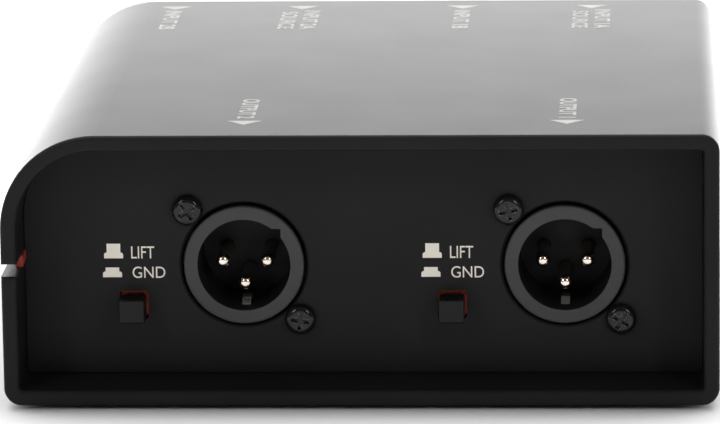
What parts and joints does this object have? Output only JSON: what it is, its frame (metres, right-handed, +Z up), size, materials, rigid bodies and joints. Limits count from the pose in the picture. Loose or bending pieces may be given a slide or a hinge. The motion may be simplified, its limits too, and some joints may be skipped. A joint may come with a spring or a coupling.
{
  "type": "direct injection box",
  "caption": "Passive stereo direct injection box: bent steel shell with recessed ends, three-pole output sockets in front, jack inputs behind, ground-lift push buttons.",
  "frame": {"origin": "middle of the footprint, on the surface the box rests on", "axes": "+X to the right seen from the front, +Y to the rear, +Z up; the output sockets face -Y"},
  "size_m": [0.121, 0.127, 0.0474],
  "materials": {
    "black_powder_coat": "fine satin powder coat",
    "red_powder_coat": "satin powder coat",
    "red_strip": "soft, matt",
    "pad_rubber": "fine grain",
    "black_screw": "blackened, slightly glossy",
    "zinc_steel": "zinc plated",
    "socket_plastic": "moulded, satin",
    "silver_contact": "silver plated",
    "tin_contact": "tinned",
    "button_plastic": "moulded, fine texture",
    "white_plastic": "moulded",
    "switch_plastic": "moulded",
    "spring_steel": "bright wire",
    "jack_plastic": "moulded",
    "nickel": "nickel plated",
    "board": "solder resist",
    "core_steel": "laminated",
    "bobbin_plastic": "moulded",
    "copper": "enamelled wire",
    "resistor": "lacquered",
    "capacitor": "film box"
  },
  "bodies": {
    "box": {"outer_shell": "black_powder_coat", "front_panel": "black_powder_coat", "rear_panel": "black_powder_coat", "inner_chassis": "red_powder_coat", "seam_strip": "red_strip", "base_pad": "pad_rubber", "case_screws": "black_screw", "output_screws": "black_screw", "case_nuts": "zinc_steel", "board_standoffs": "zinc_steel", "board_screws": "zinc_steel", "circuit_board": "board", "jack_washers": "nickel", "jack_nuts": "nickel", "resistors": "resistor", "capacitors": "capacitor", "output_1_socket": "socket_plastic", "output_1_pins": "silver_contact", "output_1_ground_contact": "tin_contact", "switch_housing_1": "switch_plastic", "switch_spring_1": "spring_steel", "switch_terminals_1": "tin_contact", "transformer_1_core": "core_steel", "transformer_1_bobbin": "bobbin_plastic", "transformer_1_winding": "copper", "transformer_1_bracket": "zinc_steel", "transformer_1_pins": "tin_contact", "output_2_socket": "socket_plastic", "output_2_pins": "silver_contact", "output_2_ground_contact": "tin_contact", "switch_housing_2": "switch_plastic", "switch_spring_2": "spring_steel", "switch_terminals_2": "tin_contact", "transformer_2_core": "core_steel", "transformer_2_bobbin": "bobbin_plastic", "transformer_2_winding": "copper", "transformer_2_bracket": "zinc_steel", "transformer_2_pins": "tin_contact", "input_2b_jack": "jack_plastic", "input_2b_tip_contact": "tin_contact", "input_2b_sleeve_contact": "tin_contact", "input_2a_jack": "jack_plastic", "input_2a_tip_contact": "tin_contact", "input_2a_sleeve_contact": "tin_contact", "input_1b_jack": "jack_plastic", "input_1b_tip_contact": "tin_contact", "input_1b_sleeve_contact": "tin_contact", "input_1a_jack": "jack_plastic", "input_1a_tip_contact": "tin_contact", "input_1a_sleeve_contact": "tin_contact"},
    "button_1": {"lift_button_1": "button_plastic", "switch_plunger_1": "white_plastic"},
    "button_2": {"lift_button_2": "button_plastic", "switch_plunger_2": "white_plastic"}
  },
  "joints": [
    {"name": "button_1_press", "type": "slide", "parent": "box", "child": "button_1", "axis": [0, 1, 0], "range_m": [0, 0.0025], "stiffness_N_per_m": 600, "springref_m": -0.0015, "deforming": ["switch_spring_1"]},
    {"name": "button_2_press", "type": "slide", "parent": "box", "child": "button_2", "axis": [0, 1, 0], "range_m": [0, 0.0025], "stiffness_N_per_m": 600, "springref_m": -0.0015, "deforming": ["switch_spring_2"]}
  ]
}
